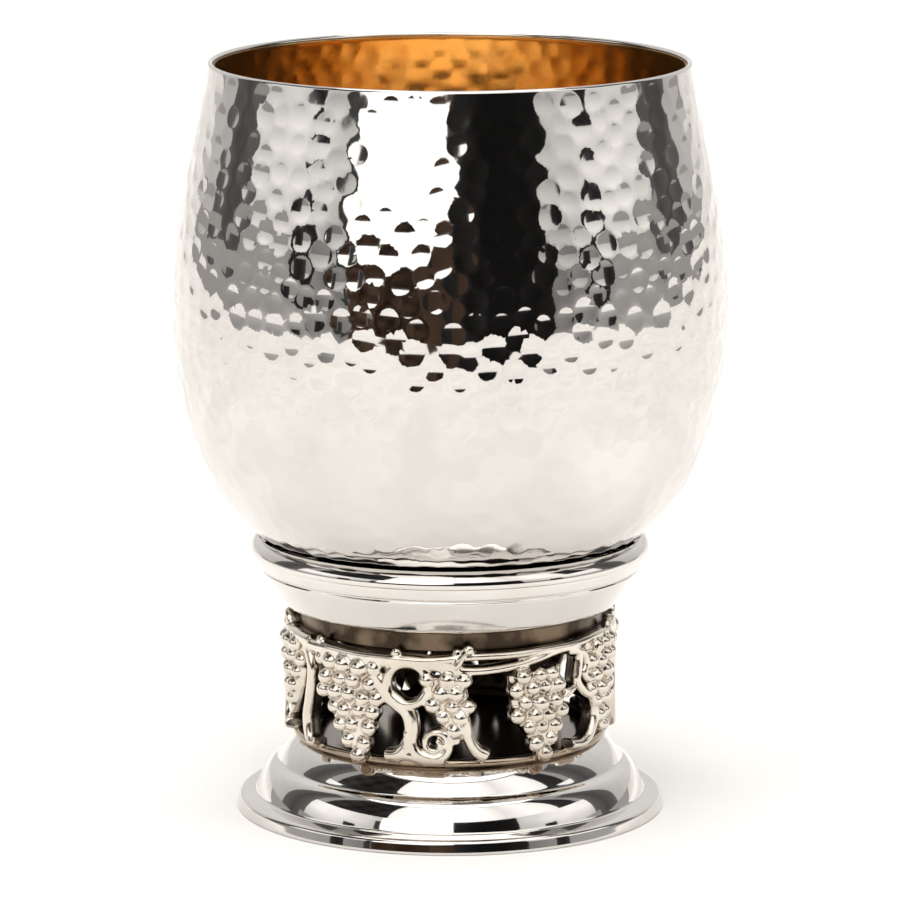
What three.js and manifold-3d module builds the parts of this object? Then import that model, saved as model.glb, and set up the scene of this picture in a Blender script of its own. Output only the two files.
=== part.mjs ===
// A kiddush cup: a hammered silver bowl with a gilt inside, on a turned collar, a cast stem of
// grape bunches and a stepped foot. Millimetres, +Z up, the cup's axis on Z, its front at -Y and
// its underside at Z = 0.
import * as THREE from 'three';
import { mergeVertices } from 'three/addons/utils/BufferGeometryUtils.js';
import Module from 'manifold-3d';

const wasm = await Module();
wasm.setup();

// ---------------------------------------------------------------- driving dimensions

const CUP_HEIGHT = 105;
const SOLDER_GAP = 0.3; // clear space between pieces that meet
const TURN_STEPS = 36; // facets round a turned piece

const BOWL = {
  wall: 1.0,
  bottom: 31.5, // height of the lowest point of the round bottom
  bellyRadius: 38.65,
  bellyHeight: 71,
  rimRadius: 33.25,
  bottomPull: 34, // how far the round bottom runs out flat
  bellyPullDown: 16.7, // how far the belly runs down straight
  bellyPullUp: 12,
  rimPull: 11.9,
  rimFlare: 2.0, // how much wider the wall is one rimPull below the rim
};

const COLLAR = {
  wall: 1.5,
  floor: 1.4,
  neckRadius: 21.3,
  neckBottom: 26.5,
  underside: 29.3,
  lowRadius: 23.6,
  lowCorner: 0.5, // bevel between the underside and the flare
  flareRadius: 24.9, // the point that the flare's curve is pulled towards
  flareHeight: 32.6,
  grooveRadius: 26.6,
  grooveHeight: 34.5,
  grooveDepth: 0.35,
  grooveWidth: 0.6,
  bandTopRadius: 27.5,
  bandTop: 36.3,
  beadRadius: 28.1,
  beadHeight: 37.3,
  lipRadius: 27.15,
  lipHeight: 38.55,
  lipDepth: 1.1, // how far the lip's inside edge lies below its outside edge
  insideEase: 0.4, // how much thicker the wall is inside the low corner
  insideDrop: 1.0, // how far below the groove the inside turns
};

const FOOT = {
  wall: 1.2,
  plateHeight: 10.4,
  upperTier: { topRadius: 20.8, bulgeRadius: 22.9, bulgeHeight: 9.1, radius: 24.0, height: 6.8 },
  lowerTier: { topRadius: 24.3, bulgeRadius: 26.1, bulgeHeight: 6.2, radius: 27.2, height: 2.3 },
  lowerTierTop: 6.6,
  flangeRadius: 29.6,
  flangeHeight: 1.95,
  edgeRadius: 29.9,
  edgeHeight: 1.7,
};

const GALLERY = {
  radius: 22.5, // middle of the casting's wall
  bottom: FOOT.plateHeight + SOLDER_GAP,
  railTop: COLLAR.neckBottom - SOLDER_GAP,
  railHeight: 0.9,
  railDepth: 1.3,
  baseRadius: 21.6, // middle of the low hoop that the casting stands on
  baseHeight: 0.8,
  vineRadius: 0.75,
  grapePitch: 3.0, // from grape to grape along a row
  rowPitch: 2.3,
  grapeHeight: 0.9,
  swell: 0.7, // how far the middle of a bunch stands out
  backDepth: 1.8,
  shoulder: 0.35, // a bunch keeps its full width down to this share of its height
  tipWidth: 2.4,
};

// The casting is two like halves. Angles are in degrees round the cup from its front towards +X.
const BUNCHES = [
  { angle: -39.5, lean: 5.5, top: 23.9, tip: GALLERY.bottom, width: 11.0 },
  { angle: -1.5, lean: 4, top: 22.9, tip: 13.2, width: 6.2 },
  { angle: 32, lean: 3, top: 22.6, tip: GALLERY.bottom, width: 10.0 },
  { angle: 68, lean: 0, top: 25.4, tip: 12.9, width: 10.2 },
  { angle: 105, lean: 0, top: 25.4, tip: 14.2, width: 9.2 },
];
// They fill the openings at the cup's back.
const REAR_BUNCHES = [
  { angle: 157, lean: 0, top: 24.6, tip: 12.0, width: 7.4 },
  { angle: 194, lean: 0, top: 24.6, tip: 12.0, width: 7.0 },
];

// Each vine is a list of [angle, height] stations.
const VINES = {
  stem: [[-58, 25.2], [-45, 25.4], [-34, 25.2], [-28, 23.6], [-23, 20.6], [-15.5, 18.4],
    [-13.5, 15.8], [-15, 13.4], [-18.5, 12.1], [-23, 11.9]],
  strap: [[-30, 25.6], [-18, 25.5], [-7, 24.8], [1, 24.1], [8, 24.3], [15, 24.9], [24, 25.0],
    [32, 25.5], [40, 25.7], [46, 24.8], [48.8, 22.8], [48.5, 20.8], [54, 19.2], [60, 17.8],
    [62.4, 15.2], [59, 12.8], [54, 11.8], [47.5, 12.0]],
  stalk: [[25.5, 25.0], [27.5, 23.6], [29, 22.0]],
  shoot: [[2.5, 18.6], [4.2, 15.0], [7.5, 12.6], [12, 11.6], [15, 11.7]],
  tendril: [[46, 25.4], [52, 24.6], [54.4, 22.9], [53, 21.4], [57, 20.6], [64, 20.9]],
  backStem: [[80, 25.6], [86, 23.4], [87.5, 19.8], [85.5, 16.4], [87, 13.2], [91, 11.7], [96, 12.0]],
  sideStem: [[119, 25.3], [122.5, 22.2], [121, 18.2], [119, 14.8], [121, 12.0], [125, 11.7]],
};

// Each ring is a round eye in the casting, and the volute is a curl of the vine.
const RINGS = [
  { angle: -14.8, height: 22.1, radius: 2.85 },
  { angle: 97, height: 27.0, radius: 1.2 },
];
const VOLUTE = {
  angle: -5.3,
  height: 13.9,
  radius: 2.35,
  innerRadius: 0.6,
  turns: 1.4,
  firstTurn: -0.31, // where the curl begins, in turns
  leadIn: [[-14.4, 15.2], [-12.4, 12.7]],
};

// ---------------------------------------------------------------- helpers

const point = (radius, height) => new THREE.Vector2(radius, height);

function bulge(start, control, end, steps) {
  return new THREE.QuadraticBezierCurve(start, control, end).getPoints(steps);
}

// Turns a closed outline of (radius, height) points round the Z axis.
function turned(outline) {
  return new THREE.LatheGeometry(outline, TURN_STEPS).rotateX(Math.PI / 2);
}

function placed(radius, degrees, height) {
  const angle = THREE.MathUtils.degToRad(degrees);
  return new THREE.Vector3(radius * Math.sin(angle), -radius * Math.cos(angle), height);
}

function toManifold(geometry) {
  const bare = geometry.index ? geometry.clone() : geometry;
  bare.deleteAttribute('normal');
  bare.deleteAttribute('uv');
  const merged = mergeVertices(bare, 1e-4);
  return new wasm.Manifold(new wasm.Mesh({
    numProp: 3,
    vertProperties: new Float32Array(merged.attributes.position.array),
    triVerts: new Uint32Array(merged.index.array),
  }));
}

function toGeometry(manifold) {
  const mesh = manifold.getMesh();
  const geometry = new THREE.BufferGeometry();
  geometry.setAttribute('position', new THREE.BufferAttribute(mesh.vertProperties, 3));
  geometry.setIndex(new THREE.BufferAttribute(mesh.triVerts, 1));
  geometry.computeVertexNormals();
  return geometry;
}

function join(geometries) {
  const [first, ...rest] = geometries.map(toManifold);
  return rest.reduce((whole, next) => whole.add(next), first);
}

function named(name, geometry, material) {
  const mesh = new THREE.Mesh(geometry, material);
  mesh.name = name;
  return mesh;
}

// ---------------------------------------------------------------- materials

function nickelPlate() {
  return new THREE.MeshStandardMaterial({ color: 0xe6e2dc, roughness: 0.12, metalness: 1 });
}

function castNickelPlate() {
  return new THREE.MeshStandardMaterial({ color: 0xded6ca, roughness: 0.2, metalness: 1 });
}

// ---------------------------------------------------------------- bowl

// The two curves of the bowl's outside, from the middle of its bottom to the rim.
function bowlCurves() {
  const belly = point(BOWL.bellyRadius, BOWL.bellyHeight);
  const lower = new THREE.CubicBezierCurve(
    point(0, BOWL.bottom),
    point(BOWL.bottomPull, BOWL.bottom),
    point(BOWL.bellyRadius, BOWL.bellyHeight - BOWL.bellyPullDown),
    belly,
  );
  const upper = new THREE.CubicBezierCurve(
    belly,
    point(BOWL.bellyRadius, BOWL.bellyHeight + BOWL.bellyPullUp),
    point(BOWL.rimRadius + BOWL.rimFlare, CUP_HEIGHT - BOWL.rimPull),
    point(BOWL.rimRadius, CUP_HEIGHT),
  );
  return [lower, upper];
}

// Points along a curve, moved inwards by the given distance square to the curve.
function offsetPoints(curve, distance, steps, last) {
  const points = [];
  for (let i = 0; i <= steps; i += 1) {
    const t = (i / steps) * last;
    const along = curve.getTangent(t);
    const at = curve.getPoint(t);
    points.push(point(Math.max(at.x - along.y * distance, 0), at.y + along.x * distance));
  }
  return points;
}

function bowl() {
  const [lower, upper] = bowlCurves();
  const lowerSteps = 9;
  const upperSteps = 4;
  const rimStart = 0.96; // the walls stop here, and the rounded rim closes them
  const outside = [
    ...offsetPoints(lower, 0, lowerSteps, 1),
    ...offsetPoints(upper, 0, upperSteps, rimStart).slice(1),
  ];
  const inside = [
    ...offsetPoints(lower, BOWL.wall, lowerSteps, 1),
    ...offsetPoints(upper, BOWL.wall, upperSteps, rimStart).slice(1),
  ];
  const rimTop = point(BOWL.rimRadius - BOWL.wall / 2, CUP_HEIGHT);
  return turned([...outside, rimTop, ...inside.reverse()]);
}

// ---------------------------------------------------------------- collar

function collar() {
  const { wall, floor, neckRadius, neckBottom, underside, lowRadius } = COLLAR;
  const { lowCorner, grooveRadius, grooveHeight, grooveDepth, grooveWidth } = COLLAR;
  const flareSteps = 4;
  const beadSteps = 4;
  const low = point(lowRadius, underside + lowCorner);
  const groove = point(grooveRadius, grooveHeight);
  const bandTop = point(COLLAR.bandTopRadius, COLLAR.bandTop);
  const beadTop = point(COLLAR.lipRadius, COLLAR.lipHeight);
  const beadReach = 2 * COLLAR.beadRadius - (bandTop.x + beadTop.x) / 2; // passes through beadRadius
  const outside = [
    point(neckRadius, neckBottom),
    point(neckRadius, underside),
    point(lowRadius - lowCorner, underside),
    ...bulge(
      low,
      point(COLLAR.flareRadius, COLLAR.flareHeight),
      point(groove.x, groove.y - grooveWidth / 2),
      flareSteps,
    ),
    point(groove.x - grooveDepth, groove.y),
    point(groove.x + grooveDepth / 2, groove.y + grooveWidth / 2),
    bandTop,
    ...bulge(bandTop, point(beadReach, COLLAR.beadHeight), beadTop, beadSteps).slice(1),
  ];
  const floorTop = neckBottom + floor;
  const inside = [
    point(COLLAR.lipRadius - wall, COLLAR.lipHeight - COLLAR.lipDepth),
    point(grooveRadius - wall - grooveDepth, grooveHeight - COLLAR.insideDrop),
    point(lowRadius - wall - COLLAR.insideEase, underside + floor),
    point(neckRadius - wall, underside + floor / 2),
    point(neckRadius - wall, floorTop),
  ];
  return turned([point(0, neckBottom), ...outside, ...inside, point(0, floorTop)]);
}

// ---------------------------------------------------------------- foot

function footTier(tier, topHeight, inset, steps) {
  return bulge(
    point(tier.radius - inset, tier.height),
    point(tier.bulgeRadius - inset, tier.bulgeHeight - inset / 2),
    point(tier.topRadius - inset, topHeight - inset),
    steps,
  );
}

function foot() {
  const { wall, plateHeight, upperTier, lowerTier, lowerTierTop } = FOOT;
  const tierSteps = 3;
  const innerSteps = 2;
  const rimInside = point(FOOT.edgeRadius - 2 * wall, 0);
  const underneath = [
    point(0, plateHeight - wall),
    ...footTier(upperTier, plateHeight, wall, innerSteps).reverse(),
    ...footTier(lowerTier, lowerTierTop, wall, innerSteps).reverse(),
    rimInside,
  ];
  const outside = [
    point(FOOT.edgeRadius, 0),
    point(FOOT.edgeRadius, FOOT.edgeHeight),
    point(FOOT.flangeRadius, FOOT.flangeHeight),
    ...footTier(lowerTier, lowerTierTop, 0, tierSteps),
    ...footTier(upperTier, plateHeight, 0, tierSteps),
    point(0, plateHeight),
  ];
  return turned([...underneath, ...outside]);
}

// ---------------------------------------------------------------- grape gallery

// A rod through [angle, height] stations on the casting's cylinder.
function vine(stations, radius, steps) {
  const points = stations.map(([angle, height]) => placed(GALLERY.radius, angle, height));
  const sides = 5;
  const corners = [];
  for (let i = 0; i < sides; i += 1) {
    const turn = (i / sides) * 2 * Math.PI;
    corners.push(point(radius * Math.cos(turn), radius * Math.sin(turn)));
  }
  const extrudePath = new THREE.CatmullRomCurve3(points);
  return new THREE.ExtrudeGeometry(new THREE.Shape(corners), { steps, extrudePath, bevelEnabled: false });
}

// A round eye lying in the casting's wall.
function ring({ angle, height, radius }) {
  const sides = 4;
  const steps = 12;
  const across = GALLERY.vineRadius;
  return new THREE.TorusGeometry(radius, across, sides, steps)
    .rotateX(Math.PI / 2)
    .rotateZ(THREE.MathUtils.degToRad(angle))
    .translate(...placed(GALLERY.radius, angle, height).toArray());
}

function volute({ angle, height, radius, innerRadius, turns, firstTurn, leadIn }) {
  const stations = [...leadIn];
  const steps = 10;
  const degreesPerMillimetre = THREE.MathUtils.radToDeg(1 / GALLERY.radius);
  for (let i = 0; i <= steps; i += 1) {
    const t = i / steps;
    const turn = 2 * Math.PI * (firstTurn + t * turns);
    const reach = THREE.MathUtils.lerp(radius, innerRadius, t);
    stations.push([
      angle + reach * Math.cos(turn) * degreesPerMillimetre,
      height + reach * Math.sin(turn),
    ]);
  }
  return vine(stations, GALLERY.vineRadius, 2 * steps - 2);
}

// How wide a bunch is at a share t of the way from its top to its tip.
function bunchWidth(width, t) {
  const { shoulder, tipWidth } = GALLERY;
  const taper = t < shoulder ? 0 : (t - shoulder) / (1 - shoulder);
  return THREE.MathUtils.lerp(tipWidth, width, Math.cos(taper * Math.PI / 2));
}

// Every second point of the lattice is the top of a grape, in rows that are set off by half.
const isGrape = (column, row) => (column + row) % 2 === 1;

// A block whose front is a lattice cut so that each grape stands out from the valleys round it.
function grapeBlock(columns, rows) {
  const block = new THREE.BoxGeometry(1, 1, 1, columns, rows, 1);
  const front = block.groups[4];
  const index = block.index.array;
  for (let cell = 0; cell < columns * rows; cell += 1) {
    if (!isGrape(cell % columns, Math.floor(cell / columns))) {
      const at = front.start + cell * 6;
      const [a, b, d, , c] = index.slice(at, at + 5);
      index.set([a, b, c, a, c, d], at);
    }
  }
  return block;
}

// A bunch of grapes with a plain back: its rows swell out in the middle and narrow to a tip.
function bunch({ angle, lean, top, tip, width }) {
  const { radius, grapePitch, rowPitch, grapeHeight, swell, backDepth } = GALLERY;
  const columns = 2 * Math.round(width / grapePitch);
  const rows = Math.round((top - tip) / rowPitch);
  const block = grapeBlock(columns, rows);
  const spots = block.attributes.position;
  for (let i = 0; i < spots.count; i += 1) {
    const side = 2 * spots.getX(i);
    const t = 0.5 - spots.getY(i);
    const column = Math.round((side + 1) * columns / 2);
    const across = side * bunchWidth(width, t) / 2;
    const rise = isGrape(column, Math.round(t * rows)) ? grapeHeight : 0;
    const front = swell * (1 - side ** 2) * (1 - t / 2) + rise;
    const out = spots.getZ(i) > 0 ? front : -backDepth;
    const turn = angle + lean * t + THREE.MathUtils.radToDeg(across / radius);
    const spot = placed(radius + out, turn, THREE.MathUtils.lerp(top, tip, t));
    spots.setXYZ(i, spot.x, spot.y, spot.z);
  }
  return block;
}

function hoop(radius, top, height) {
  const inner = radius - GALLERY.railDepth / 2;
  const outer = radius + GALLERY.railDepth / 2;
  return turned([
    point(inner, top - height),
    point(outer, top - height),
    point(outer, top),
    point(inner, top),
    point(inner, top - height),
  ]);
}

function grapeGallery() {
  const { vineRadius, radius, railTop, railHeight, bottom, baseRadius, baseHeight } = GALLERY;
  const half = join([
    ...BUNCHES.map(bunch),
    ...Object.values(VINES).map((stations) => vine(stations, vineRadius, stations.length + 1)),
    ...RINGS.map(ring),
    volute(VOLUTE),
  ]);
  const hoops = [hoop(radius, railTop, railHeight), hoop(baseRadius, bottom + baseHeight, baseHeight)];
  const whole = half.add(half.rotate([0, 0, 180])).add(join([...REAR_BUNCHES.map(bunch), ...hoops]));
  const cutDepth = 6;
  const cutWidth = 3 * radius;
  const block = new THREE.BoxGeometry(cutWidth, cutWidth, cutDepth);
  block.translate(0, 0, bottom - cutDepth / 2);
  const shells = whole.subtract(toManifold(block)).decompose(); // the casting and its tiny bubbles
  return toGeometry(shells.reduce((best, next) => (next.volume() > best.volume() ? next : best)));
}

// ---------------------------------------------------------------- the cup

const cup = new THREE.Group();
cup.add(
  named('bowl', bowl(), nickelPlate()),
  named('collar', collar(), nickelPlate()),
  named('grape_gallery', grapeGallery(), castNickelPlate()),
  named('foot', foot(), nickelPlate()),
);

export default cup;
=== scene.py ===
"""Kiddush cup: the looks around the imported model. Metres, +Z up, the cup's front at -Y."""

import itertools
import math

import bpy
import numpy as np
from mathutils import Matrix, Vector
from mathutils.geometry import delaunay_2d_cdt


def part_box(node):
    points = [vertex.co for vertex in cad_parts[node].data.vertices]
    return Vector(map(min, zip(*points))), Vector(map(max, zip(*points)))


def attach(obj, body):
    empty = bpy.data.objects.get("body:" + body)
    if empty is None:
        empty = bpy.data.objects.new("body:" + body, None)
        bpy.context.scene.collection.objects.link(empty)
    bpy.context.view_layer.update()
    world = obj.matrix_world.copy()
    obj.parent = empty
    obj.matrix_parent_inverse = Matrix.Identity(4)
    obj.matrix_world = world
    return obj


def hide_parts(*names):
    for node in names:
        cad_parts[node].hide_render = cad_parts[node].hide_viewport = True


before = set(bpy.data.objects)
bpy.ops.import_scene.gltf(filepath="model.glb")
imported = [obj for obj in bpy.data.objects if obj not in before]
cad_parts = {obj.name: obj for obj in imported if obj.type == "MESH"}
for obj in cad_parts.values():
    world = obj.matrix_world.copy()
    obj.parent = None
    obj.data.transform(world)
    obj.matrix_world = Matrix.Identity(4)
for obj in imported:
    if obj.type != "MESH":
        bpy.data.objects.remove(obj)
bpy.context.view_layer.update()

MM = 0.001
SEED = 20
rng = np.random.default_rng(SEED)

# -------------------- sizes, from the frame

BOWL_LOW, BOWL_HIGH = (np.array(corner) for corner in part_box("bowl"))
COLLAR_LOW, COLLAR_HIGH = (np.array(corner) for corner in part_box("collar"))
FOOT_HIGH = np.array(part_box("foot")[1])

CUP_HEIGHT = BOWL_HIGH[2]
PLATE_HEIGHT = FOOT_HIGH[2]
BOWL_BOTTOM = BOWL_LOW[2]
BELLY_RADIUS = BOWL_HIGH[0]
BELLY_HEIGHT = 71 * MM
RIM_RADIUS = 33.25 * MM
BOTTOM_PULL = 34 * MM
BELLY_PULL_DOWN = 16.7 * MM
BELLY_PULL_UP = 12 * MM
RIM_PULL = 11.9 * MM
RIM_FLARE = 2.0 * MM
BOWL_WALL = 1.0 * MM
SILVER_WALL = 0.78 * MM
GILT_GAP = 0.02 * MM
BOWL_COLUMNS = 400
LINING_COLUMNS = 480
TURNED_COLUMNS = 288

# A hollow's radius is the hammer's, times a number drawn from the spread, times a factor for its height.
HAMMER_RADIUS = 12.5 * MM
HAMMER_SPREAD = (0.8, 1.3)
MARK_FLATNESS = ([40 * MM, 58 * MM, 66 * MM, 84 * MM, 92 * MM, CUP_HEIGHT], [1.9, 1.35, 1.0, 1.0, 1.6, 2.2])
MARK_RADIUS = 1.62 * MM
MARK_SPREAD = 0.25 * MM
MARK_SPACING = 2.65 * MM
MARK_TRIES = 30000
MARKS_FROM = 38 * MM
MARKS_TO = 103.2 * MM
BAND_TOP = 104.6 * MM
RIM_POINTS = 17
RIM_WIDTH = 0.24 * MM
# Rings of points inside a mark: share of its radius, number of points.
MARK_RINGS = ((0, 1), (0.5, 6), (1, RIM_POINTS))
RIDGE_STEP = 0.5 * MM
RIDGE_EASE = 0.006 * MM
RIDGE_MARGIN = 0.014 * MM
RIDGE_TOLERANCE = 0.012 * MM
FLAT_STEP = 1.0 * MM
FLAT_MARGIN = 0.02 * MM
BORDER_MARGIN = 0.25 * MM
LEAST_APART = 0.2 * MM
SEAM_OVERLAP = 5 * MM
CUT_CHUNK = 3000
TINY = 1e-7
SAME_PLACE = 1e-9
LINING_SWELL = 0.085 * MM
# Slow waves of the hand-raised wall: waves round, waves up, height, shift.
UNEVENNESS = (
    (7, 2, 0.035 * MM, 0.4),
    (-11, 3, 0.025 * MM, 2.1),
    (17, -4, 0.014 * MM, 4.0),
    (5, 6, 0.012 * MM, 5.2),
)


# -------------------- outlines


def full_turn(count):
    return np.linspace(0, 2 * np.pi, count, endpoint=False)


def bezier(points, steps):
    """A curve from the first point to the last, drawn towards the ones between."""
    t = np.linspace(0, 1, steps + 1)[:, None]
    found = [np.array(point, float) for point in points]
    while len(found) > 1:
        found = [(1 - t) * one + t * two for one, two in zip(found, found[1:])]
    return found[0]


def run_along(points):
    """How far along an outline each of its points is."""
    return np.concatenate([[0], np.cumsum(np.hypot(*np.diff(points, axis=0).T))])


def spaced(points, step):
    """The outline's points set evenly along it, about a step apart."""
    points = np.array(points, float)
    gaps = np.hypot(*np.diff(points, axis=0).T)
    points = points[np.concatenate([[True], gaps > SAME_PLACE])]
    run = run_along(points)
    count = max(2, int(round(run[-1] / step)) + 1)
    at = np.linspace(0, run[-1], count)
    return np.stack([np.interp(at, run, points[:, k]) for k in (0, 1)], axis=1)


def rounded(points, passes):
    """The same outline with its corners eased."""
    points = points.copy()
    for _ in range(passes):
        points[1:-1] = (points[:-2] + 2 * points[1:-1] + points[2:]) / 4
    return points


def outward(points):
    """Unit normals of an outline whose inside is on its left."""
    along = np.gradient(points, axis=0)
    along /= np.maximum(np.linalg.norm(along, axis=1, keepdims=True), 1e-12)
    return np.stack([along[:, 1], -along[:, 0]], axis=1)


def bowl_outline(steps=400):
    """The bowl's outside, from the middle of its round bottom to its rim."""
    lower = [
        (0, BOWL_BOTTOM),
        (BOTTOM_PULL, BOWL_BOTTOM),
        (BELLY_RADIUS, BELLY_HEIGHT - BELLY_PULL_DOWN),
        (BELLY_RADIUS, BELLY_HEIGHT),
    ]
    upper = [
        (BELLY_RADIUS, BELLY_HEIGHT),
        (BELLY_RADIUS, BELLY_HEIGHT + BELLY_PULL_UP),
        (RIM_RADIUS + RIM_FLARE, CUP_HEIGHT - RIM_PULL),
        (RIM_RADIUS, CUP_HEIGHT),
    ]
    return np.concatenate([bezier(lower, steps), bezier(upper, steps)[1:]])


# -------------------- meshes


def circle(radius, angles, height):
    return np.stack(np.broadcast_arrays(radius * np.cos(angles), radius * np.sin(angles), height), axis=-1)


def embossed(place, angles, normals, relief, slope_round, slope_up):
    """A turned surface's points moved out by a relief, and its normals tilted by the relief's slopes."""
    radial, across = circle(1, angles, 0), circle(1, angles + np.pi / 2, 0)
    up = np.array([0, 0, 1])
    facing = normals[..., :1] * radial + normals[..., 1:] * up
    along = normals[..., :1] * up - normals[..., 1:] * radial
    tilted = facing - slope_round[..., None] * across - slope_up[..., None] * along
    return place + relief[..., None] * facing, tilted / np.linalg.norm(tilted, axis=-1, keepdims=True)


def numbered(columns, rows, start=0):
    """The indices of a grid of points, row by row."""
    return list(np.arange(start, start + columns * rows).reshape(rows, columns))


def strips(rows):
    """Quads between each row and the next one up."""
    quads = []
    for low, high in zip(rows, rows[1:]):
        quads += np.stack([low, np.roll(low, -1), np.roll(high, -1), high], axis=1).tolist()
    return quads


def fan(centre, row):
    return np.stack([row, np.roll(row, -1), np.full(len(row), centre)], axis=1).tolist()


def spun(name, outline, columns, relief=None):
    """A closed mesh turned round Z. The outline starts and ends on the axis.
    relief: how far out each point moves, and the relief's slopes round the axis and along the outline."""
    rows = len(outline) - 2
    if relief is None:
        relief = np.zeros((3, rows, columns))
    angles = full_turn(columns)
    normals = outward(outline)
    place = circle(outline[1:-1, :1], angles, outline[1:-1, 1:])
    points, facing = embossed(place, angles, normals[1:-1, None], *relief)
    points = np.concatenate([points.reshape(-1, 3), [(0, 0, height) for height in outline[[0, -1], 1]]])
    facing = np.concatenate([facing.reshape(-1, 3), [(0, 0, sign) for sign in np.sign(normals[[0, -1], 1])]])
    grid = numbered(columns, rows)
    faces = strips(grid) + fan(rows * columns, grid[0][::-1]) + fan(rows * columns + 1, grid[-1])
    return mesh_object(name, points, faces, facing)


def placed(name, data):
    made = bpy.data.objects.new(name, data)
    bpy.context.scene.collection.objects.link(made)
    return made


def mesh_object(name, points, faces, normals=None):
    mesh = bpy.data.meshes.new(name)
    mesh.from_pydata(points.tolist(), [], faces)
    mesh.update()
    mesh.shade_smooth()
    if normals is not None:
        mesh.normals_split_custom_set_from_vertices(normals.tolist())
    return placed(name, mesh)


# -------------------- hammer marks


class HammeredBand:
    """The part of a turned outline that is hammered, unrolled: angle round it, run up it.
    Each mark is the hollow that a round-faced hammer leaves, and the deepest one wins."""

    def __init__(self, outline):
        self.outline = outline
        self.run = run_along(outline)
        self.normals = outward(outline)
        self.low, self.high = np.interp([MARKS_FROM, BAND_TOP], outline[:, 1], self.run)
        self.scatter_marks()

    def radius(self, run):
        return np.interp(run, self.run, self.outline[:, 0])

    def height(self, run):
        return np.interp(run, self.run, self.outline[:, 1])

    def place(self, angle, run):
        """Points on the plain outline."""
        return circle(self.radius(run), angle, self.height(run))

    def normal(self, run):
        """The plain outline's normal: how far out and how far up it points."""
        return np.stack([np.interp(run, self.run, self.normals[:, k]) for k in (0, 1)], axis=-1)

    def scatter_marks(self):
        """Mark centres, thrown at random, none nearer to another than the spacing."""
        top = np.interp(MARKS_TO, self.outline[:, 1], self.run)
        angle = rng.uniform(-np.pi, np.pi, MARK_TRIES)
        run = rng.uniform(self.low + MARK_RADIUS, top, MARK_TRIES)
        kept = thinned(self.place(angle, run), MARK_SPACING)
        self.angle, self.mark_run = angle[kept], run[kept]
        self.mark_radius = self.radius(self.mark_run)
        self.size = MARK_RADIUS + rng.uniform(-MARK_SPREAD, MARK_SPREAD, len(kept))
        flatter = np.interp(self.height(self.mark_run), *MARK_FLATNESS)
        self.hammer = HAMMER_RADIUS * flatter * rng.uniform(*HAMMER_SPREAD, len(kept))

    def reach(self, angle, run, mark):
        """How far round and up a point lies from a mark's centre."""
        turn = (angle - self.angle[mark] + np.pi) % (2 * np.pi) - np.pi
        return turn * self.mark_radius[mark], run - self.mark_run[mark]

    def around(self, reach, turn):
        """The points at a reach from each mark's centre, in the directions of turn."""
        angle = self.angle[:, None] + reach * np.cos(turn) / self.mark_radius[:, None]
        return angle.ravel(), (self.mark_run[:, None] + reach * np.sin(turn)).ravel()

    def cuts(self, angle, run, count=3):
        """The deepest few marks at each point, and how deep each one cuts there."""
        order, depth = [], []
        every = np.arange(len(self.angle))
        for chunk in np.array_split(np.arange(len(angle)), max(1, len(angle) // CUT_CHUNK)):
            across, up = self.reach(angle[chunk, None], run[chunk, None], every[None, :])
            cut = (across**2 + up**2 - self.size**2) / (2 * self.hammer)
            best = np.argpartition(cut, count, axis=1)[:, :count]
            values = np.take_along_axis(cut, best, axis=1)
            rank = np.argsort(values, axis=1)
            order.append(np.take_along_axis(best, rank, axis=1))
            depth.append(np.take_along_axis(values, rank, axis=1))
        return np.concatenate(order), np.concatenate(depth)

    def edge_points(self):
        """Points round each mark's rim, where no other mark has cut it away."""
        turn = full_turn(RIM_POINTS)
        angle, run = self.around(self.size[:, None], turn)
        _, depth = self.cuts(angle, run)
        kept = depth[:, 0] > -TINY
        return angle[kept], run[kept]

    def ridge_points(self):
        """Points along the ridge between two marks that overlap."""
        angles, runs, pairs = [], [], []
        for one in range(len(self.angle)):
            across, up = self.reach(self.angle, self.mark_run, one)
            apart = np.hypot(across, up)
            touching = (apart < self.size + self.size[one]) & (np.arange(len(apart)) > one)
            for two in np.nonzero(touching)[0]:
                gap = apart[two]
                along = (gap**2 + self.size[one] ** 2 - self.size[two] ** 2) / (2 * gap)
                half = math.sqrt(max(self.size[one] ** 2 - along**2, 0))
                steps = max(2, int(2 * half / RIDGE_STEP) + 1)
                side = np.linspace(-half, half, steps)
                ahead = np.array([across[two], up[two]]) / gap
                spot = along * ahead + side[:, None] * np.array([-ahead[1], ahead[0]])
                angles.append(self.angle[one] + spot[:, 0] / self.mark_radius[one])
                runs.append(self.mark_run[one] + spot[:, 1])
                pairs.append((along**2 + side**2 - self.size[one] ** 2) / (2 * self.hammer[one]))
        angle, run, own = (np.concatenate(part) for part in (angles, runs, pairs))
        _, depth = self.cuts(angle, run)
        kept = depth[:, 0] > own - RIDGE_TOLERANCE
        return angle[kept], run[kept]

    def inner_points(self):
        """Rings of points inside each mark, and its centre, clear of the ridges."""
        share = np.concatenate([np.full(count, reach) for reach, count in MARK_RINGS])
        turn = np.concatenate([full_turn(count) for _, count in MARK_RINGS])
        angle, run = self.around((self.size[:, None] - RIM_WIDTH) * share, turn)
        mark = np.repeat(np.arange(len(self.angle)), len(turn))
        order, depth = self.cuts(angle, run)
        kept = (order[:, 0] == mark) & (depth[:, 1] > depth[:, 0] + RIDGE_MARGIN)
        return angle[kept], run[kept]

    def flat_points(self):
        """Loose points on what is left between the marks."""
        count = int((self.high - self.low) * 2 * np.pi * BELLY_RADIUS / FLAT_STEP**2)
        angle = rng.uniform(-np.pi, np.pi, count)
        run = rng.uniform(self.low, self.high, count)
        _, depth = self.cuts(angle, run)
        kept = depth[:, 0] > FLAT_MARGIN
        angle, run = angle[kept], run[kept]
        kept = thinned(self.place(angle, run), FLAT_STEP)
        return angle[kept], run[kept]

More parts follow.
